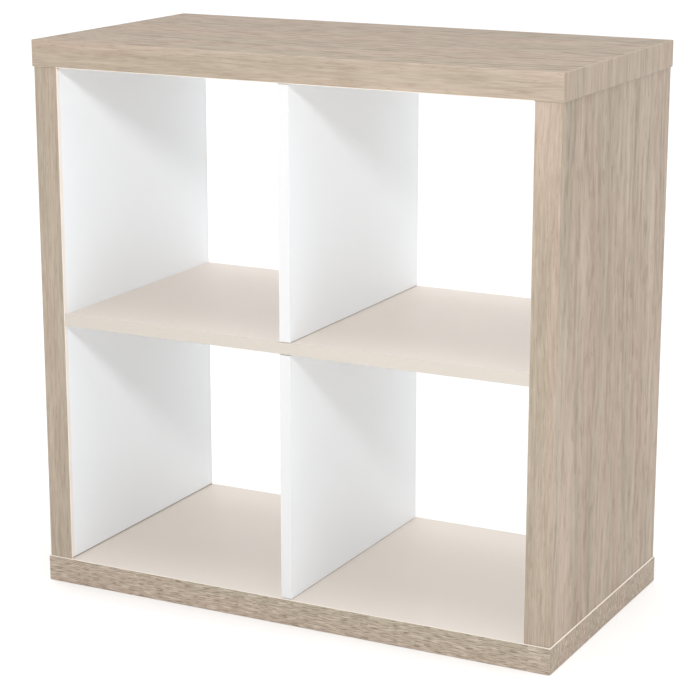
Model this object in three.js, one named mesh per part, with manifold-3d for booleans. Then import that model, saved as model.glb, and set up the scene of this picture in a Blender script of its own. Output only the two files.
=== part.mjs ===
// Open cube storage unit: two rows of two square compartments, open at the front and the rear.
//
// A case of four hollow boards (top, bottom and two sides) is screwed together at its corners. Inside
// it, one full-width shelf and two short partitions of solid board make the compartments. Dowels hold
// the shelf and the partitions.
// Millimetres. +X is to the right, -Y to the front and +Z up. The origin is on the floor, under the
// middle of the unit.

import * as THREE from "three";
import { mergeVertices } from "three/addons/utils/BufferGeometryUtils.js";
import Module from "manifold-3d";

// Overall size
const WIDTH = 765;
const DEPTH = 390;
const HEIGHT = 765;

// Boards
const CASE_BOARD = 36; // thickness of the top, bottom and side boards
const INNER_BOARD = 16; // thickness of the shelf and the partitions
const SIDE_SETBACK = 2; // the sides stand this far inside the top and bottom, at the ends, front and rear
const INNER_SETBACK = 3; // the shelf and partitions stand this far behind the top's long edges
const SKIN = 3; // hardboard skin on each face of a hollow board
const CASE_BAND = 1.5; // edge band on the case boards
const CASE_ARRIS = 1; // rounding along the outer edges of the case bands
const CASE_CORNER = 1.5; // rounding at the corners of the top and bottom boards, seen from above
const INNER_BAND = 1; // edge band on the shelf and partitions
const INNER_ARRIS = 0.5;
const ARC_STEPS = 3; // facets in each rounded arris
const SKIN_JOINT = 1.5; // open joint at each end of a side's inner skin
const PARTITION_JOINT = 0.8; // open joint at each end of a partition

// Inside a hollow board
const RAIL = 45; // width of the frame along the front and rear
const END_RAIL = 50; // width of the frame across the ends, which hold the screws
const LUG_WIDTH = 60; // block inside each long rail, for the dowels of the shelf or a partition
const LUG_REACH = 105; // distance from the middle of the board to the lug
const CELL = 62; // honeycomb cell, across flats
const CELL_WALL = 1.5;
const CORE_GAP = 0.5; // round the honeycomb, to the frame

// Fasteners
const FIT_GAP = 0.3; // between a fastener and the hole or seat it sits in
const ROUND_SIDES = 12; // facets round screws, dowels and holes
const SCREW_Y = 150; // screws at this distance before and behind the middle
const SCREW_RADIUS = 3.5;
const SCREW_LENGTH = 70; // under the head
const SCREW_POINT = 5;
const HEAD_RADIUS = 5;
const HEAD_HEIGHT = 5;
const HEAD_SINK = 2.5; // top of the head below the outer face of its board
const SOCKET_FLATS = 4; // hexagon socket, across flats
const SOCKET_DEPTH = 3.5;
const MOUTH_RADIUS = 7; // hole in the outer skin over a screw head
const CAP_RADIUS = 6.5;
const CAP_HEIGHT = 1.5;
const CAP_STEM_RADIUS = 1.5;
const CAP_STEM_LENGTH = 3;
const DOWEL_Y = 130; // shelf and partition dowels at this distance before and behind the middle
const DOWEL_RADIUS = 4;
const DOWEL_LENGTH = 30;
const DOWEL_CHAMFER = 1;
const SIDE_DOWEL_DEPTH = 12.5; // how far a shelf dowel goes into a side board
const CASE_DOWEL_DEPTH = 15; // how far a dowel goes into a top or bottom board
const CENTRE_DOWEL_LENGTH = INNER_BOARD + 2 * CASE_DOWEL_DEPTH; // through the shelf

// Worked out from the above
const CASE_CORE = CASE_BOARD - 2 * SKIN;
const SIDE_LENGTH = HEIGHT - 2 * CASE_BOARD;
const SIDE_DEPTH = DEPTH - 2 * SIDE_SETBACK;
const INNER_WIDTH = WIDTH - 2 * (SIDE_SETBACK + CASE_BOARD);
const INNER_DEPTH = DEPTH - 2 * INNER_SETBACK;
const SIDE_MIDDLE = (INNER_WIDTH + CASE_BOARD) / 2; // from the unit's middle to that of a side board
const BAY_HEIGHT = (SIDE_LENGTH - INNER_BOARD) / 2; // of a compartment
const BAY_MIDDLE = (INNER_BOARD + BAY_HEIGHT) / 2; // from the unit's middle to that of a compartment
const PARTITION_HEIGHT = BAY_HEIGHT - 2 * PARTITION_JOINT;
const SCREW_HOLE = holeRadius(SCREW_RADIUS);
const HEAD_HOLE = holeRadius(HEAD_RADIUS);
const DOWEL_HOLE = holeRadius(DOWEL_RADIUS);
const LEFT_RIGHT = [["left", -1], ["right", 1]];
const FRONT_REAR = [["front", -1], ["rear", 1]];

const oakFoil = finish(0xbdaf9f, 0.55);
const oakEdge = finish(0xc4b3a2, 0.55);
const whiteFoil = finish(0xf2f2f1, 0.45);
const beigeFoil = finish(0xdcd2c7, 0.5);
const chipboard = finish(0xb89468, 0.9);
const kraftPaper = finish(0xa98560, 0.95);
const beech = finish(0xcfab7c, 0.7);
const steel = finish(0xb4b6b8, 0.35, 0.95);

const wasm = await Module();
wasm.setup();

// ---- helpers ----

function finish(color, roughness, metalness = 0) {
  return new THREE.MeshStandardMaterial({ color, roughness, metalness });
}

// Radius to the corners of a faceted hole whose flats clear a round pin by the fit gap.
function holeRadius(pinRadius) {
  return (pinRadius + FIT_GAP) / Math.cos(Math.PI / ROUND_SIDES);
}

function toSolid(geometry) {
  const bare = geometry.index ? geometry.toNonIndexed() : geometry.clone();
  bare.deleteAttribute("normal");
  bare.deleteAttribute("uv");
  const merged = mergeVertices(bare);
  return new wasm.Manifold(new wasm.Mesh({
    numProp: 3,
    vertProperties: merged.attributes.position.array,
    triVerts: new Uint32Array(merged.index.array),
  }));
}

// The geometry with each of the other geometries cut out of it.
function cut(geometry, tools) {
  let solid = toSolid(geometry);
  for (const tool of tools) {
    solid = solid.subtract(toSolid(tool));
  }
  const mesh = solid.getMesh();
  const result = new THREE.BufferGeometry();
  result.setAttribute("position", new THREE.BufferAttribute(mesh.vertProperties, 3));
  result.setIndex(new THREE.BufferAttribute(mesh.triVerts, 1));
  result.computeVertexNormals();
  return result;
}

function add(group, name, geometry, material) {
  const mesh = new THREE.Mesh(geometry, material);
  mesh.name = name;
  group.add(mesh);
  return mesh;
}

function extrude(shape, height) {
  return new THREE.ExtrudeGeometry(shape, { depth: height, bevelEnabled: false, curveSegments: ARC_STEPS });
}

function polygon(points) {
  return new THREE.Shape(points.map(([x, y]) => new THREE.Vector2(x, y)));
}

function rectangle(halfX, halfY) {
  return polygon([[-halfX, -halfY], [halfX, -halfY], [halfX, halfY], [-halfX, halfY]]);
}

// A round tool along Z between two heights.
function drillZ(radius, x, y, bottom, top) {
  const drill = new THREE.CylinderGeometry(radius, radius, top - bottom, ROUND_SIDES);
  return drill.rotateX(Math.PI / 2).translate(x, y, (bottom + top) / 2);
}

// A round tool along X between two stations.
function drillX(radius, y, z, start, end) {
  const drill = new THREE.CylinderGeometry(radius, radius, end - start, ROUND_SIDES);
  return drill.rotateZ(Math.PI / 2).translate((start + end) / 2, y, z);
}

// ---- edge bands ----

// Band of a straight edge. It runs along X, its back is at Y = 0 and its face at Y = -thickness, and
// Z goes from 0 to the board's thickness. The two long edges of its face are rounded.
function straightBand(length, thickness, board, arris) {
  const profile = new THREE.Shape();
  profile.moveTo(0, 0);
  profile.lineTo(0, board);
  profile.lineTo(-thickness + arris, board);
  profile.absarc(-thickness + arris, board - arris, arris, Math.PI / 2, Math.PI);
  profile.absarc(-thickness + arris, arris, arris, Math.PI, Math.PI * 1.5);
  profile.closePath();
  const band = extrude(profile, length).translate(0, 0, -length / 2);
  const drawnXYZ = [new THREE.Vector3(0, 1, 0), new THREE.Vector3(0, 0, 1), new THREE.Vector3(1, 0, 0)];
  return band.applyMatrix4(new THREE.Matrix4().makeBasis(...drawnXYZ));
}

// Adds the front and the rear band of a board whose face lies across local Z.
function addLongBands(group, name, length, depth, thickness, board, arris, material) {
  for (const [edge, sign] of FRONT_REAR) {
    const geometry = straightBand(length, thickness, board, arris);
    const band = add(group, `${name}_${edge}_band`, geometry, material);
    band.position.y = sign * (depth / 2 - thickness);
    if (sign > 0) {
      band.rotation.x = Math.PI;
      band.position.z = board;
    }
  }
}

// Band all round a top or bottom board, with its outer arrises and corners rounded.
function ringBand() {
  const halfX = WIDTH / 2 - CASE_CORNER;
  const halfY = DEPTH / 2 - CASE_CORNER;
  const cornerRadius = CASE_CORNER - CASE_ARRIS; // the bevel adds the rest
  const outline = new THREE.Shape();
  [[-1, -1], [1, -1], [1, 1], [-1, 1]].forEach(([signX, signY], quarter) => {
    const start = Math.PI * (1 + quarter / 2);
    outline.absarc(signX * halfX, signY * halfY, cornerRadius, start, start + Math.PI / 2);
  });
  const slab = new THREE.ExtrudeGeometry(outline, {
    depth: CASE_BOARD - 2 * CASE_ARRIS,
    bevelThickness: CASE_ARRIS,
    bevelSize: CASE_ARRIS,
    bevelSegments: ARC_STEPS,
    curveSegments: 2,
  });
  const inside = new THREE.BoxGeometry(WIDTH - 2 * CASE_BAND, DEPTH - 2 * CASE_BAND, 3 * CASE_BOARD);
  return cut(slab.translate(0, 0, CASE_ARRIS), [inside]);
}

// ---- hollow case boards ----
// Each is drawn lying down: length along X, depth along Y, and Z from 0 at the face towards the
// compartments to CASE_BOARD at the outer face.

// The window that the frame leaves for the honeycomb, with a notch round each lug.
function windowShape(halfLength, halfDepth, inset) {
  const x = halfLength - END_RAIL - inset;
  const y = halfDepth - RAIL - inset;
  const lugX = LUG_WIDTH / 2 + inset;
  const lugY = LUG_REACH - inset;
  return polygon([
    [-x, -y], [-lugX, -y], [-lugX, -lugY], [lugX, -lugY], [lugX, -y], [x, -y],
    [x, y], [lugX, y], [lugX, lugY], [-lugX, lugY], [-lugX, y], [-x, y],
  ]);
}

// Chipboard frame of a board, with the given holes cut in it.
function boardFrame(halfLength, halfDepth, holes) {
  const shape = rectangle(halfLength, halfDepth);
  shape.holes.push(windowShape(halfLength, halfDepth, 0));
  return cut(extrude(shape, CASE_CORE).translate(0, 0, SKIN), holes);
}

// Paper honeycomb: a block that fills the window, with a hexagonal hole for each cell.
function honeycomb(halfLength, halfDepth) {
  const block = extrude(windowShape(halfLength, halfDepth, CORE_GAP), CASE_CORE).translate(0, 0, SKIN);
  const columnPitch = CELL * Math.sin(Math.PI / 3);
  const columns = Math.ceil(halfLength / columnPitch);
  const rows = Math.ceil(halfDepth / CELL);
  const cellRadius = (CELL - CELL_WALL) / Math.sqrt(3);
  const cells = [];
  for (let column = -columns; column <= columns; column += 1) {
    const stagger = column % 2 === 0 ? 0 : CELL / 2;
    for (let row = -rows; row <= rows; row += 1) {
      const cell = new THREE.CylinderGeometry(cellRadius, cellRadius, 2 * CASE_BOARD, 6);
      cell.rotateX(Math.PI / 2).rotateZ(Math.PI / 6);
      cells.push(cell.translate(column * columnPitch, row * CELL + stagger, 0));
    }
  }
  return cut(block, cells);
}

// Hardboard skin with its lower face at a height, and a through hole at each [x, y, radius].
function skin(halfLength, halfDepth, bottom, holes) {
  const shape = rectangle(halfLength, halfDepth);
  for (const [x, y, radius] of holes) {
    const hole = new THREE.Path();
    hole.absarc(x, y, radius, 0, 2 * Math.PI);
    shape.holes.push(hole);
  }
  const options = { depth: SKIN, bevelEnabled: false, curveSegments: ROUND_SIDES / 2 };
  return new THREE.ExtrudeGeometry(shape, options).translate(0, 0, bottom);
}

// Adds the skins, frame and honeycomb of one board. The inner skin is shorter by a joint at each end.
function addHollowBoard(group, name, length, depth, { innerFoil, innerJoint, outer, inner, frame }) {
  const halfLength = length / 2;
  const halfDepth = depth / 2;
  const outerSkin = skin(halfLength, halfDepth, CASE_BOARD - SKIN, outer);
  const innerSkin = skin(halfLength - innerJoint, halfDepth, 0, inner);
  add(group, `${name}_outer_skin`, outerSkin, oakFoil);
  add(group, `${name}_inner_skin`, innerSkin, innerFoil);
  add(group, `${name}_frame`, boardFrame(halfLength, halfDepth, frame), chipboard);
  add(group, `${name}_honeycomb`, honeycomb(halfLength, halfDepth), kraftPaper);
}

// Places of the two dowels that meet the middle of a board.
function middleDowels() {
  return FRONT_REAR.map(([, sign]) => [0, sign * DOWEL_Y]);
}

// Places of the screws and of the corner dowels in a top or bottom board.
function cornerScrews() {
  return LEFT_RIGHT.flatMap(([, endSign]) => (
    FRONT_REAR.map(([, sign]) => [endSign * SIDE_MIDDLE, sign * SCREW_Y])
  ));
}

function cornerDowels() {
  return LEFT_RIGHT.map(([, sign]) => [sign * SIDE_MIDDLE, 0]);
}

// Top or bottom board, lying over or under both sides.
function addFlatBoard(name, angle, height) {
  const board = new THREE.Group();
  board.rotation.y = angle;
  board.position.z = height;
  unit.add(board);
  const dowels = [...middleDowels(), ...cornerDowels()];
  const screws = cornerScrews();
  const stepHeight = CASE_BOARD - HEAD_SINK - HEAD_HEIGHT - FIT_GAP;
  addHollowBoard(board, name, WIDTH - 2 * CASE_BAND, DEPTH - 2 * CASE_BAND, {
    innerFoil: beigeFoil,
    innerJoint: 0,
    outer: screws.map(([x, y]) => [x, y, MOUTH_RADIUS]),
    inner: [
      ...dowels.map(([x, y]) => [x, y, DOWEL_HOLE]),
      ...screws.map(([x, y]) => [x, y, SCREW_HOLE]),
    ],
    frame: [
      ...dowels.map(([x, y]) => drillZ(DOWEL_HOLE, x, y, 0, CASE_DOWEL_DEPTH + FIT_GAP)),
      ...screws.map(([x, y]) => drillZ(SCREW_HOLE, x, y, 0, CASE_BOARD)),
      ...screws.map(([x, y]) => drillZ(HEAD_HOLE, x, y, stepHeight, CASE_BOARD)),
    ],
  });
  add(board, `${name}_edge_band`, ringBand(), oakEdge);
  return board;
}

// Side board, standing between the top and bottom boards.
function addSideBoard(name, sign) {
  const board = new THREE.Group();
  board.rotation.y = sign * Math.PI / 2;
  board.position.set(sign * INNER_WIDTH / 2, 0, HEIGHT / 2);
  unit.add(board);
  const end = SIDE_LENGTH / 2;
  const middle = CASE_BOARD / 2;
  const screwDepth = SCREW_LENGTH + HEAD_HEIGHT + HEAD_SINK - CASE_BOARD + FIT_GAP;
  const frameHoles = middleDowels().map(([x, y]) => (
    drillZ(DOWEL_HOLE, x, y, 0, SIDE_DOWEL_DEPTH + FIT_GAP)
  ));
  for (const [start, stop] of [[-end - 1, -end + screwDepth], [end - screwDepth, end + 1]]) {
    for (const [, edgeSign] of FRONT_REAR) {
      frameHoles.push(drillX(SCREW_HOLE, edgeSign * SCREW_Y, middle, start, stop));
    }
  }
  const dowelDepth = DOWEL_LENGTH - CASE_DOWEL_DEPTH + FIT_GAP;
  frameHoles.push(drillX(DOWEL_HOLE, 0, middle, -end - 1, -end + dowelDepth));
  frameHoles.push(drillX(DOWEL_HOLE, 0, middle, end - dowelDepth, end + 1));
  addHollowBoard(board, name, SIDE_LENGTH, SIDE_DEPTH - 2 * CASE_BAND, {
    innerFoil: whiteFoil,
    innerJoint: SKIN_JOINT,
    outer: [],
    inner: middleDowels().map(([x, y]) => [x, y, DOWEL_HOLE]),
    frame: frameHoles,
  });
  addLongBands(board, name, SIDE_LENGTH, SIDE_DEPTH, CASE_BAND, CASE_BOARD, CASE_ARRIS, oakFoil);
}

// ---- shelf and partitions ----

// Solid board with a band on its front and rear edges, drawn lying on Z = 0.
function addSolidBoard(group, name, length, foil, holes) {
  const depth = INNER_DEPTH - 2 * INNER_BAND;
  const blank = extrude(rectangle(length / 2, depth / 2), INNER_BOARD);
  add(group, `${name}_board`, cut(blank, holes), foil);
  addLongBands(group, name, length, INNER_DEPTH, INNER_BAND, INNER_BOARD, INNER_ARRIS, foil);
}

// Holes for the dowels in one end of a solid board.
function endDowelHoles(length, sign, depth) {
  const outside = sign * (length / 2 + 1);
  const bottom = sign * (length / 2 - depth - FIT_GAP);
  const [start, end] = [outside, bottom].sort((a, b) => a - b);
  return FRONT_REAR.map(([, edgeSign]) => (
    drillX(DOWEL_HOLE, edgeSign * DOWEL_Y, INNER_BOARD / 2, start, end)
  ));
}

function addShelf() {
  const shelf = new THREE.Group();
  shelf.position.z = (HEIGHT - INNER_BOARD) / 2;
  unit.add(shelf);
  const endDepth = DOWEL_LENGTH - SIDE_DOWEL_DEPTH;
  addSolidBoard(shelf, "shelf", INNER_WIDTH, beigeFoil, [
    ...LEFT_RIGHT.flatMap(([, sign]) => endDowelHoles(INNER_WIDTH, sign, endDepth)),
    ...middleDowels().map(([x, y]) => drillZ(DOWEL_HOLE, x, y, -1, INNER_BOARD + 1)),
  ]);
}

function addPartition(name, height) {
  const partition = new THREE.Group();
  partition.rotation.y = -Math.PI / 2;
  partition.position.set(INNER_BOARD / 2, 0, height);
  unit.add(partition);
  addSolidBoard(partition, name, PARTITION_HEIGHT, whiteFoil, (
    LEFT_RIGHT.flatMap(([, sign]) => endDowelHoles(PARTITION_HEIGHT, sign, CASE_DOWEL_DEPTH))
  ));
}

// ---- fasteners ----

// Connecting screw with a hexagon socket, pointing down, with the top of its head at Z = 0.
function screwGeometry() {
  const end = -HEAD_HEIGHT - SCREW_LENGTH;
  const outline = [
    [0, end], [SCREW_RADIUS / 3, end], [SCREW_RADIUS, end + SCREW_POINT], [SCREW_RADIUS, -HEAD_HEIGHT],
    [HEAD_RADIUS, -HEAD_HEIGHT], [HEAD_RADIUS, -0.5], [HEAD_RADIUS - 0.5, 0], [0, 0],
  ];
  const socketRadius = SOCKET_FLATS / Math.sqrt(3);
  const socket = new THREE.CylinderGeometry(socketRadius, socketRadius, 2 * SOCKET_DEPTH, 6);
  return cut(turned(outline), [socket.rotateX(Math.PI / 2)]);
}

// Cover cap: a flat disc with its face at Z = 0, and a stem that goes into the screw's socket.
function capGeometry() {
  return turned([
    [0, -CAP_HEIGHT - CAP_STEM_LENGTH], [CAP_STEM_RADIUS, -CAP_HEIGHT - CAP_STEM_LENGTH],
    [CAP_STEM_RADIUS, -CAP_HEIGHT], [CAP_RADIUS, -CAP_HEIGHT], [CAP_RADIUS, -0.25],
    [CAP_RADIUS - 0.25, 0], [0, 0],
  ]);
}

// Dowel along Z, centred on the origin, with chamfered ends.
function dowelGeometry(length) {
  const end = length / 2;
  const narrow = DOWEL_RADIUS - DOWEL_CHAMFER;
  return turned([
    [0, -end], [narrow, -end], [DOWEL_RADIUS, -end + DOWEL_CHAMFER],
    [DOWEL_RADIUS, end - DOWEL_CHAMFER], [narrow, end], [0, end],
  ]);
}

// A solid turned about Z from an outline of [radius, height].
function turned(outline) {
  const points = outline.map(([radius, height]) => new THREE.Vector2(radius, height));
  return new THREE.LatheGeometry(points, ROUND_SIDES).rotateX(Math.PI / 2);
}

function addScrews(board, name, withCaps) {
  for (const [end, endSign] of LEFT_RIGHT) {
    for (const [edge, edgeSign] of FRONT_REAR) {
      const screw = add(board, `${name}_screw_${end}_${edge}`, screwGeometry(), steel);
      screw.position.set(endSign * SIDE_MIDDLE, edgeSign * SCREW_Y, CASE_BOARD - HEAD_SINK);
      if (withCaps) {
        const cap = add(board, `screw_cap_${end}_${edge}`, capGeometry(), oakFoil);
        cap.position.set(screw.position.x, screw.position.y, CASE_BOARD);
      }
    }
  }
}

function addDowel(name, length, x, y, z, alongX = false) {
  const dowel = add(unit, name, dowelGeometry(length), beech);
  dowel.position.set(x, y, z);
  if (alongX) {
    dowel.rotation.y = Math.PI / 2;
  }
}

function addDowels() {
  const topJoint = HEIGHT - CASE_BOARD;
  const offset = DOWEL_LENGTH / 2 - SIDE_DOWEL_DEPTH;
  for (const [side, sign] of LEFT_RIGHT) {
    addDowel(`corner_dowel_top_${side}`, DOWEL_LENGTH, sign * SIDE_MIDDLE, 0, topJoint);
    addDowel(`corner_dowel_bottom_${side}`, DOWEL_LENGTH, sign * SIDE_MIDDLE, 0, CASE_BOARD);
    for (const [edge, edgeSign] of FRONT_REAR) {
      const x = sign * (INNER_WIDTH / 2 - offset);
      addDowel(`shelf_dowel_${side}_${edge}`, DOWEL_LENGTH, x, edgeSign * DOWEL_Y, HEIGHT / 2, true);
    }
  }
  for (const [edge, sign] of FRONT_REAR) {
    const y = sign * DOWEL_Y;
    addDowel(`partition_dowel_top_${edge}`, DOWEL_LENGTH, 0, y, topJoint);
    addDowel(`partition_dowel_bottom_${edge}`, DOWEL_LENGTH, 0, y, CASE_BOARD);
    addDowel(`centre_dowel_${edge}`, CENTRE_DOWEL_LENGTH, 0, y, HEIGHT / 2);
  }
}

// ---- the unit ----

const unit = new THREE.Group();
const top = addFlatBoard("top", 0, HEIGHT - CASE_BOARD);
const bottom = addFlatBoard("bottom", Math.PI, CASE_BOARD);
addSideBoard("left_side", -1);
addSideBoard("right_side", 1);
addShelf();
addPartition("upper_partition", HEIGHT / 2 + BAY_MIDDLE);
addPartition("lower_partition", HEIGHT / 2 - BAY_MIDDLE);
addScrews(top, "top", true);
addScrews(bottom, "bottom", false);
addDowels();

export default unit;
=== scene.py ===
"""Cube storage unit: finishes, floor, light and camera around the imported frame.

Metres, in the frame's axes: +X to the right, -Y to the front, +Z up.
"""
import math

import bpy
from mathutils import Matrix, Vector


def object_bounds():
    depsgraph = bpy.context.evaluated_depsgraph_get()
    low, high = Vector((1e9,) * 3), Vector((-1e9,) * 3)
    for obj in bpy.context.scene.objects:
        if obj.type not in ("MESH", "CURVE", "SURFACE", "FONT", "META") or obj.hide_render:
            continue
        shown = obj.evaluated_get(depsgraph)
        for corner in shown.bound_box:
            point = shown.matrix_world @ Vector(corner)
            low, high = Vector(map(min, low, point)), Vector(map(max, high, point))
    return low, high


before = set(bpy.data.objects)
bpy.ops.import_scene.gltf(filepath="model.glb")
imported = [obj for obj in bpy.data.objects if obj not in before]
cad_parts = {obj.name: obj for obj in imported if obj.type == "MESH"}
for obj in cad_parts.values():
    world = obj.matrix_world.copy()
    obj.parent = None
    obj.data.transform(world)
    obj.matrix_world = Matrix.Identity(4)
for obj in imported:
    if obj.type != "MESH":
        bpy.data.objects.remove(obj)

CAD_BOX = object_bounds()
LOW, HIGH = (Vector(corner) for corner in CAD_BOX)
CENTRE = (LOW + HIGH) / 2
MM = 0.001
BOARD = 38 * MM     # from the outside of the unit to the inside of a side

# Camera: angles in degrees, distances in metres, lens in millimetres on a 36 mm sensor
CAMERA_AZIMUTH = 27.3
CAMERA_ELEVATION = 14.4
CAMERA_DISTANCE = 3.033
CAMERA_LENS = 113.8
CAMERA_AIM = CENTRE + Vector((0, -0.012, -0.040))
SENSOR_WIDTH = 36

# Light: the room's brightness at the horizon, overhead, in front of the unit and behind it, then
# the softbox and the even light from above
SKY_LOW = 1.00
SKY_HIGH = 0.95
SKY_FRONT = 0.34
SKY_REAR = 1.13
SKY_RISE = (0.0, 0.6)       # the heights between which it changes, on a sphere of radius 1
SKY_TURN = (-0.65, -0.15)   # and the places from front to rear
KEY_PLACE = (0.60, -1.695, 1.62)
KEY_SIZE = 0.30
KEY_WATTS = 20.6
OVERHEAD_STRENGTH = 0.25
OVERHEAD_SPREAD = 40    # degrees

FLOOR_REACH = 30.0
FLOOR_DROP = 0.2 * MM   # keeps the floor clear of the unit's underside


def srgb(red, green, blue):
    """A colour given as 0 to 255 per channel, as linear RGBA."""
    def linear(value):
        value /= 255
        return value / 12.92 if value <= 0.04045 else ((value + 0.055) / 1.055) ** 2.4
    return (linear(red), linear(green), linear(blue), 1)


def towards(azimuth, elevation):
    """The direction that points from the object to something at these angles, in degrees."""
    azimuth = math.radians(azimuth)
    elevation = math.radians(elevation)
    return Vector((
        math.sin(azimuth) * math.cos(elevation),
        -math.cos(azimuth) * math.cos(elevation),
        math.sin(elevation),
    ))


# ---- node trees ----

class Shader:
    """A material's node tree, with short calls that add a node and return its output."""

    def __init__(self, name, roughness=0.5, metallic=0.0):
        self.material = bpy.data.materials.new(name)
        self.material.use_nodes = True
        self.tree = self.material.node_tree
        self.surface = self.tree.nodes["Principled BSDF"]
        self.surface.inputs["Roughness"].default_value = roughness
        self.surface.inputs["Metallic"].default_value = metallic
        place = self.tree.nodes.new("ShaderNodeTexCoord")
        self.point = place.outputs["Object"]
        self.normal = place.outputs["Normal"]
        self.axes = self.add("ShaderNodeSeparateXYZ", {0: self.point}, output=None).outputs

    def add(self, kind, inputs, output=0, **settings):
        node = self.tree.nodes.new(kind)
        for key, value in settings.items():
            setattr(node, key, value)
        for key, value in inputs.items():
            if isinstance(value, bpy.types.NodeSocket):
                self.tree.links.new(value, node.inputs[key])
            else:
                node.inputs[key].default_value = value
        return node if output is None else node.outputs[output]

    def math(self, operation, first, second=0.0, third=0.0):
        return self.add("ShaderNodeMath", {0: first, 1: second, 2: third}, operation=operation)

    def total(self, *terms):
        """The sum of (socket, weight) pairs, each counted from its middle value of 0.5."""
        result = 0.5
        for socket, weight in terms:
            centred = self.math("SUBTRACT", socket, 0.5)
            result = self.math("MULTIPLY_ADD", centred, weight, result)
        return result

    def vector(self, operation, first, second, third=(0, 0, 0), output=0):
        return self.add(
            "ShaderNodeVectorMath", {0: first, 1: second, 2: third}, output, operation=operation,
        )

    def scaled(self, vector, scale):
        return self.vector("MULTIPLY", vector, scale)

    def noise(self, vector, scale=1.0, detail=2.0, roughness=0.5):
        inputs = {"Vector": vector, "Scale": scale, "Detail": detail, "Roughness": roughness}
        return self.add("ShaderNodeTexNoise", inputs)

    def span(self, value, low, high, start=0.0, end=1.0):
        inputs = {0: value, 1: low, 2: high, 3: start, 4: end}
        return self.add("ShaderNodeMapRange", inputs, interpolation_type="SMOOTHSTEP")

    def mix(self, factor, first, second):
        return self.add("ShaderNodeMix", {0: factor, 6: first, 7: second}, 2, data_type="RGBA")

    def blend(self, factor, first, second):
        return self.add("ShaderNodeMix", {0: factor, 2: first, 3: second}, 0, data_type="FLOAT")

    def ramp(self, value, stops):
        node = self.add("ShaderNodeValToRGB", {0: value}, output=None)
        elements = node.color_ramp.elements
        while len(elements) < len(stops):
            elements.new(0.5)
        for element, (position, color) in zip(elements, stops):
            element.position = position
            element.color = color
        return node.outputs[0]

    def colour(self, socket):
        self.tree.links.new(socket, self.surface.inputs["Base Color"])

    def roughness(self, socket):
        self.tree.links.new(socket, self.surface.inputs["Roughness"])

    def relief(self, height, depth, strength=1.0):
        inputs = {"Height": height, "Strength": strength, "Distance": depth}
        self.tree.links.new(self.add("ShaderNodeBump", inputs), self.surface.inputs["Normal"])


# ---- oak-effect foil ----

OAK_DEEP = srgb(124, 106, 89)
OAK_DARK = srgb(155, 138, 120)
OAK_BODY = srgb(178, 162, 145)
OAK_LIGHT = srgb(194, 178, 161)
OAK_PALE = srgb(214, 200, 185)
OAK_GREY = srgb(168, 161, 143)
OAK_PINK = srgb(190, 167, 151)
CREAM = srgb(236, 228, 218)
LAP_WHITE = srgb(240, 233, 227)
TOP_PAINTED_SHADE = (0.77, 0.74, 0.70)      # painted shade: how much of each channel the top's foil keeps, darker and warmer than the same foil on the front and sides, against the stronger light from above
AXIS = {"X": 0, "Y": 1, "Z": 2}

# Marks per metre, along and across the grain
SWAY = (2.6, 10.0)
RIPPLE = (15.0, 34.0)
BROAD = (1.3, 20.0)
STREAKS = (4.2, 75.0)
THREADS = (13.0, 260.0)
FIBRES = (34.0, 600.0)
PATCHES = (2.2, 13.0)
HOOKS = (26.0, 120.0)
PORES = (62.0, 600.0)
DARK_DASHES = (30.0, 800.0)
PALE_DASHES = (22.0, 560.0)
HUES = (1.8, 24.0)

SWAY_WIDTH = 45 * MM    # how far the grain wanders sideways
RIPPLE_WIDTH = 10 * MM
RING_GAP = 16 * MM      # between the growth rings of the figure
RING_SLANT = 0.050      # how much the rings lean from the line of the grain
RING_BOW = 0.0006       # how round the tips of the arches are, as a square in square metres
FIGURE_HEART = -0.08    # where the arches are centred across the grain
RING_SEED = 3.1         # which stretch of the print the long sides of a band show
END_NORMAL = 0.6        # the end of a band begins where its surface faces this much sideways
PALE_HOOK_SHARE = 0.4   # how strong the pale hooks and dashes are beside the dark ones
PALE_DASH_SHARE = 0.7

# How much each layer of the grain counts: broad zones, streaks, threads and fibres
WIDE_FACE = (0.34, 0.54, 0.30, 0.22)
TOP_FACE = (0.08, 0.16, 0.42, 0.54)
NARROW_FACE = (0.16, 0.30, 0.48, 0.50)
COARSE_FACE = (0.06, 0.04, 0.16, 0.46)


class Grain:
    """The lie of the printed grain: it runs along one axis, and it sways and has its growth rings
    across another. The seed picks a stretch of the print. Choppy grain has shorter marks, and wavy
    grain sways more."""

    def __init__(self, shader, along, across, seed, choppy, wavy):
        self.shader = shader
        self.along = AXIS[along]
        self.across = AXIS[across]
        self.heart = FIGURE_HEART + seed
        self.choppy = choppy
        self.start = shader.vector("ADD", shader.point, (seed, seed, seed))
        sway = shader.math("MULTIPLY", self.noise(self.start, SWAY), SWAY_WIDTH * wavy)
        drift = shader.math("MULTIPLY_ADD", self.noise(self.start, RIPPLE), RIPPLE_WIDTH * wavy, sway)
        sideways = [1.0 if axis == self.across else 0.0 for axis in range(3)]
        self.bent = shader.vector("MULTIPLY_ADD", drift, sideways, self.start)

    def noise(self, point, per_metre, **settings):
        per_length, per_width = per_metre
        scale = [per_length if axis == self.along else per_width for axis in range(3)]
        return self.shader.noise(self.shader.scaled(point, scale), **settings)

    def streaks(self, per_metre, **settings):
        per_length, per_width = per_metre
        return self.noise(self.bent, (per_length * self.choppy, per_width), **settings)

    def wave(self):
        """The growth rings, as arches: from -1 to 1 and back over each ring."""
        shader = self.shader
        width = shader.add("ShaderNodeSeparateXYZ", {0: self.bent}, self.across)
        offset = shader.math("SUBTRACT", width, self.heart)
        bowed = shader.math("SQRT", shader.math("MULTIPLY_ADD", offset, offset, RING_BOW))
        rings = shader.math("MULTIPLY_ADD", shader.axes[self.along], RING_SLANT, bowed)
        return shader.math("SINE", shader.math("MULTIPLY", rings, 2 * math.pi / RING_GAP))


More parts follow.
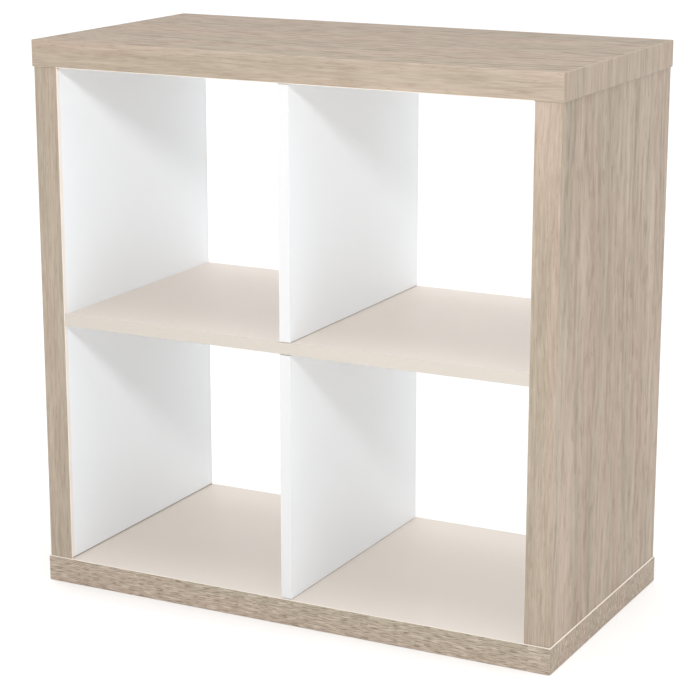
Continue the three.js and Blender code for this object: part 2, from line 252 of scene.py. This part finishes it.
def grain(
    shader, along, across, layers,
    seed=0.0, choppy=1.0, wavy=1.0, figure=0.0, rows=0.0, wisps=0.0, dashes=0.0, flecks=0.15,
):
    """The printed grain as (tone, pores, hue), each about 0 to 1. figure, rows, wisps, dashes and
    flecks are the weights of the arches, the broken rings, the hooks, the dashes and the pores."""
    lie = Grain(shader, along, across, seed, choppy, wavy)
    broad = lie.streaks(BROAD, detail=1.0)
    streaks = lie.streaks(STREAKS, roughness=0.55)
    threads = lie.streaks(THREADS, roughness=0.6)
    fibres = lie.streaks(FIBRES)
    wave = lie.wave()
    patches = shader.span(lie.noise(lie.start, PATCHES, detail=1.0), 0.42, 0.62)
    arches = shader.math("MULTIPLY_ADD", shader.math("MULTIPLY", wave, patches), 0.5, 0.5)
    tone = shader.total(*zip((broad, streaks, threads, fibres), layers), (arches, figure))

    marks = lie.streaks(HOOKS, detail=1.0)
    broken = shader.math("MULTIPLY", shader.span(wave, 0.20, 0.90), shader.span(marks, 0.43, 0.57))
    tone = shader.math("MULTIPLY_ADD", broken, -rows, tone)
    pale = shader.math("MULTIPLY", shader.span(marks, 0.41, 0.35), PALE_HOOK_SHARE)
    hooks = shader.math("SUBTRACT", pale, shader.span(marks, 0.58, 0.63))
    tone = shader.math("MULTIPLY_ADD", hooks, wisps, tone)

    pores = shader.span(lie.streaks(PORES, detail=1.0), 0.60, 0.74)
    tone = shader.math("MULTIPLY_ADD", pores, -flecks, tone)

    dark = shader.span(lie.streaks(DARK_DASHES, detail=0.0), 0.60, 0.63)
    pale = shader.span(lie.streaks(PALE_DASHES, detail=0.0), 0.40, 0.36)
    pale = shader.math("MULTIPLY", pale, PALE_DASH_SHARE)
    tone = shader.math("MULTIPLY_ADD", shader.math("SUBTRACT", pale, dark), dashes, tone)
    return tone, pores, lie.noise(lie.bent, HUES)


def facing(shader, direction):
    """1 where the surface looks within 60 degrees of a unit direction, or nearer to it for a shorter
    one, and 0 elsewhere."""
    along = shader.vector("DOT_PRODUCT", shader.normal, direction, output=1)
    return shader.math("GREATER_THAN", along, 0.5)


def finish_oak(shader, tone, pores, hue, shift=0.0, warmth=0.0, painted_shade=(1, 1, 1), lips=(), reach=1.0):
    """Colours the foil, lighter by shift and pinker by warmth, then darkened by a painted shade that
    keeps this much of each channel. lips are the ways its pale rounded edges face. They are seen up
    to a reach from the middle of the unit."""
    tone = shader.math("ADD", tone, shift)
    hue = shader.math("ADD", hue, warmth)
    body = shader.ramp(tone, [
        (0.10, OAK_DEEP), (0.32, OAK_DARK), (0.52, OAK_BODY), (0.72, OAK_LIGHT), (0.95, OAK_PALE),
    ])
    tint = shader.ramp(hue, [(0.38, OAK_GREY), (0.62, OAK_PINK)])
    # painted shade: darkens the whole foil by the given share of each channel
    colour = shader.scaled(shader.mix(0.30, body, tint), painted_shade)
    within = shader.math("LESS_THAN", shader.math("ABSOLUTE", shader.axes["X"]), reach)
    for direction in lips:
        on_lip = shader.math("MULTIPLY", facing(shader, direction), within)
        colour = shader.mix(on_lip, colour, CREAM)
    shader.colour(colour)
    shader.roughness(shader.span(tone, 0.2, 0.8, 0.60, 0.50))
    shader.relief(shader.math("MULTIPLY_ADD", pores, -0.8, tone), 0.15 * MM, 0.5)
    return shader.material


def oak(name, along, across, layers, shift=0.0, painted_shade=(1, 1, 1), lips=(), **options):
    """Oak foil on one board. The options are those of the grain."""
    shader = Shader(name)
    marks = grain(shader, along, across, layers, **options)
    return finish_oak(shader, *marks, shift=shift, painted_shade=painted_shade, lips=lips)


def oak_ring(
    name, layers, shift, warmth, lips,
    reach=1.0, choppy=1.0, end_choppy=1.0, end_shift=-0.01, **options,
):
    """Band round a board: the grain runs along the front and rear, and upright on the ends, where it
    has its own choppiness and is a little darker."""
    shader = Shader(name)
    level = grain(shader, "X", "Z", layers, seed=RING_SEED, choppy=choppy, **options)
    upright = grain(shader, "Z", "Y", layers, choppy=end_choppy, **options)
    across = shader.add("ShaderNodeSeparateXYZ", {0: shader.normal}, output=AXIS["X"])
    on_end = shader.math("GREATER_THAN", shader.math("ABSOLUTE", across), END_NORMAL)
    tone, pores, hue = [shader.blend(on_end, first, second) for first, second in zip(level, upright)]
    tone = shader.math("MULTIPLY_ADD", on_end, end_shift, tone)
    return finish_oak(shader, tone, pores, hue, shift=shift, warmth=warmth, lips=lips, reach=reach)


# ---- plain foils ----

CLOUD_SHADE = 0.97      # how dark the cloud in a plain foil gets
LAP_DEPTH = 9 * MM      # how far the front edging laps onto the sides' white foil


def foil(name, base, roughness, lap=None):
    """Plain printed foil: a faint cloud in its colour and a fine leather-like emboss. In front of
    lap, where the edging laps onto it, it is creamier."""
    shader = Shader(name, roughness)
    cloud = shader.noise(shader.point, 6.0, 3.0)
    darker = tuple(channel * CLOUD_SHADE for channel in base[:3]) + (1,)
    colour = shader.mix(cloud, darker, base)
    if lap is not None:
        on_lap = shader.math("LESS_THAN", shader.axes["Y"], lap)
        colour = shader.mix(on_lap, colour, LAP_WHITE)
    shader.colour(colour)
    emboss = shader.noise(shader.point, 900.0, 2.0)
    shader.roughness(shader.span(emboss, 0.3, 0.7, roughness + 0.05, roughness - 0.05))
    shader.relief(emboss, 0.04 * MM, 0.35)
    return shader.material


# ---- materials inside the boards ----

def chipboard(name):
    shader = Shader(name, 0.85)
    flakes = shader.add("ShaderNodeTexVoronoi", {"Vector": shader.point, "Scale": 320.0}, 1)
    tone = shader.add("ShaderNodeSeparateColor", {0: flakes}, 0)
    shader.colour(shader.ramp(tone, [
        (0.1, srgb(150, 116, 78)), (0.5, srgb(188, 152, 108)), (0.9, srgb(214, 184, 142)),
    ]))
    shader.relief(tone, 0.3 * MM, 0.6)
    return shader.material


def paper(name):
    shader = Shader(name, 0.9)
    pulp = shader.noise(shader.point, 700.0, 4.0, 0.7)
    shader.colour(shader.ramp(pulp, [(0.3, srgb(148, 114, 78)), (0.7, srgb(186, 152, 112))]))
    shader.relief(pulp, 0.1 * MM, 0.5)
    return shader.material


def beech(name):
    shader = Shader(name, 0.65)
    flecks = shader.noise(shader.scaled(shader.point, (60.0, 900.0, 900.0)), detail=3.0)
    shader.colour(shader.ramp(flecks, [(0.3, srgb(186, 146, 102)), (0.7, srgb(222, 190, 150))]))
    shader.relief(flecks, 0.1 * MM, 0.4)
    return shader.material


def zinc_steel(name):
    shader = Shader(name, 0.32, 1.0)
    spangle = shader.noise(shader.point, 400.0, 3.0)
    shader.colour(shader.ramp(spangle, [(0.35, srgb(172, 176, 180)), (0.65, srgb(206, 208, 210))]))
    shader.roughness(shader.span(spangle, 0.3, 0.7, 0.26, 0.42))
    shader.relief(spangle, 0.02 * MM, 0.4)
    return shader.material


# ---- finishes on the CAD nodes ----

# Directions in which the pale edges of the top and bottom bands face: down at the front and rear of
# the top, and up all round the bottom
TOP_LIPS = [(0, -0.45, -0.45), (0, 0.45, -0.45)]
BOTTOM_LIPS = [(0, 0, 1)]


def make_finishes():
    """Pairs of (part of a node's name, material). The first that fits a node is used."""
    white = srgb(245, 248, 251)
    beige = srgb(221, 212, 203)
    white_board = foil("white_foil", white, 0.42)
    lapped_board = foil("white_foil_side", srgb(241, 244, 247), 0.42, lap=LOW.y + LAP_DEPTH)
    beige_board = foil("beige_foil", beige, 0.45)
    side_oak = oak("oak_side", "Z", "Y", WIDE_FACE, shift=-0.10, figure=0.12, wisps=0.12)
    # the top's foil carries a painted shade, darker and warmer than the same foil elsewhere
    top_oak = oak(
        "oak_top", "X", "Y", TOP_FACE,
        shift=-0.05, painted_shade=TOP_PAINTED_SHADE, seed=1.7, rows=0.25, wisps=0.10, flecks=0.3,
    )
    left_post, right_post = (
        oak(
            f"oak_post_{side}", "Z", "X", NARROW_FACE,
            shift=shift, lips=[(inward, 0, 0)], seed=5.3, wavy=0.5,
        )
        for side, shift, inward in [("left", -0.05, 1), ("right", -0.07, -1)]
    )
    top_ring = oak_ring(
        "oak_top_edge", NARROW_FACE, -0.07, 0.04, TOP_LIPS, reach=HIGH.x - BOARD, wavy=0.3,
    )
    bottom_ring = oak_ring(
        "oak_bottom_edge", COARSE_FACE, 0.01, 0.0, BOTTOM_LIPS, end_shift=-0.13,
        choppy=2.2, end_choppy=4.5, wavy=0.2, dashes=0.44, flecks=0.3,
    )
    boards = chipboard("chipboard")
    core = paper("kraft_paper")
    dowel = beech("beech")
    screw = zinc_steel("zinc_steel")
    return [
        ("top_edge_band", top_ring),
        ("bottom_edge_band", bottom_ring),
        ("side_outer_skin", side_oak),
        ("_outer_skin", top_oak),
        ("screw_cap", top_oak),
        ("side_inner_skin", lapped_board),
        ("_inner_skin", beige_board),
        ("_frame", boards),
        ("_honeycomb", core),
        ("left_side", left_post),
        ("right_side", right_post),
        ("shelf_board", beige_board),
        ("shelf_front_band", foil("beige_edge", srgb(205, 197, 187), 0.4)),
        ("shelf_rear_band", beige_board),
        ("partition_board", white_board),
        ("partition_front_band", foil("white_edge", srgb(225, 225, 225), 0.4)),
        ("partition_rear_band", white_board),
        ("dowel", dowel),
        ("screw", screw),
    ]


def dress_nodes():
    finishes = make_finishes()
    for name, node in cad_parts.items():
        material = next(material for part, material in finishes if part in name)
        if not node.material_slots:
            node.data.materials.append(material)
        for slot in node.material_slots:
            slot.material = material


WELD_GAP = 0.01 * MM    # closes the gaps between the loose triangles of a node's mesh
SHARP_EDGE = 50         # degrees between two faces, from which their edge is rounded

# Width of the rounding on each kind of board's edges, by the end of the node's name
EDGE_ROUNDING = {
    "_skin": 0.35 * MM,
    "side_front_band": 0.25 * MM,
    "side_rear_band": 0.25 * MM,
    "_board": 0.35 * MM,
}


def round_edges():
    """Rounds the boards' edges, once each node's triangles are joined."""
    for name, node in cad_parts.items():
        width = next((width for part, width in EDGE_ROUNDING.items() if name.endswith(part)), None)
        if width is None:
            continue
        weld = node.modifiers.new("edge_weld", "WELD")
        weld.merge_threshold = WELD_GAP
        bevel = node.modifiers.new("edge_rounding", "BEVEL")
        bevel.width = width
        bevel.segments = 2
        bevel.limit_method = "ANGLE"
        bevel.angle_limit = math.radians(SHARP_EDGE)


# ---- stage ----

def make_floor():
    mesh = bpy.data.meshes.new("floor")
    corners = [(-1, -1), (1, -1), (1, 1), (-1, 1)]
    height = LOW.z - FLOOR_DROP
    points = [(x * FLOOR_REACH, y * FLOOR_REACH, height) for x, y in corners]
    mesh.from_pydata(points, [], [(0, 1, 2, 3)])
    floor = bpy.data.objects.new("floor", mesh)
    bpy.context.scene.collection.objects.link(floor)
    shader = Shader("floor_paint", 0.8)
    cloud = shader.noise(shader.point, 0.8, 2.0)
    shader.colour(shader.ramp(cloud, [(0.3, srgb(249, 249, 249)), (0.7, srgb(251, 251, 251))]))
    mesh.materials.append(shader.material)


def make_world():
    """A white room that is a little darker overhead, and darker still in front of the unit."""
    world = bpy.data.worlds.new("studio")
    bpy.context.scene.world = world
    world.use_nodes = True
    tree = world.node_tree
    direction = tree.nodes.new("ShaderNodeTexCoord")
    axes = tree.nodes.new("ShaderNodeSeparateXYZ")
    tree.links.new(direction.outputs["Generated"], axes.inputs[0])

    def fade(axis, low, high, start, end):
        node = tree.nodes.new("ShaderNodeMapRange")
        tree.links.new(axes.outputs[axis], node.inputs["Value"])
        for key, value in zip(("From Min", "From Max", "To Min", "To Max"), (low, high, start, end)):
            node.inputs[key].default_value = value
        return node.outputs["Result"]

    both = tree.nodes.new("ShaderNodeMath")
    both.operation = "MULTIPLY"
    tree.links.new(fade("Z", *SKY_RISE, SKY_LOW, SKY_HIGH), both.inputs[0])
    tree.links.new(fade("Y", *SKY_TURN, SKY_FRONT, SKY_REAR), both.inputs[1])
    background = tree.nodes["Background"]
    background.inputs["Color"].default_value = (1.0, 1.0, 1.0, 1)
    tree.links.new(both.outputs[0], background.inputs["Strength"])


def link_light(light, direction, place=(0, 0, 0)):
    """Puts a light in the scene, shining from the given direction."""
    lamp = bpy.data.objects.new(light.name, light)
    lamp.location = place
    lamp.rotation_euler = direction.to_track_quat("Z", "Y").to_euler()
    lamp.visible_camera = False
    bpy.context.scene.collection.objects.link(lamp)


def make_lights():
    """A softbox at the front right, above the top, and a faint even light from overhead."""
    key = bpy.data.lights.new("key", "AREA")
    key.shape = "SQUARE"
    key.size = KEY_SIZE
    key.energy = KEY_WATTS
    link_light(key, Vector(KEY_PLACE) - CENTRE, KEY_PLACE)
    overhead = bpy.data.lights.new("overhead", "SUN")
    overhead.energy = OVERHEAD_STRENGTH * math.pi
    overhead.angle = math.radians(OVERHEAD_SPREAD)
    link_light(overhead, Vector((0, 0, 1)))


def make_camera():
    camera = bpy.data.cameras.new("camera")
    camera.lens = CAMERA_LENS
    camera.sensor_width = SENSOR_WIDTH
    camera.clip_end = 100
    back = towards(CAMERA_AZIMUTH, CAMERA_ELEVATION)
    holder = bpy.data.objects.new("camera", camera)
    holder.location = CAMERA_AIM + back * CAMERA_DISTANCE
    holder.rotation_euler = (-back).to_track_quat("-Z", "Y").to_euler()
    bpy.context.scene.collection.objects.link(holder)
    bpy.context.scene.camera = holder


make_camera()
make_world()
make_lights()
make_floor()
dress_nodes()
round_edges()
bpy.context.scene.view_settings.view_transform = "Standard"
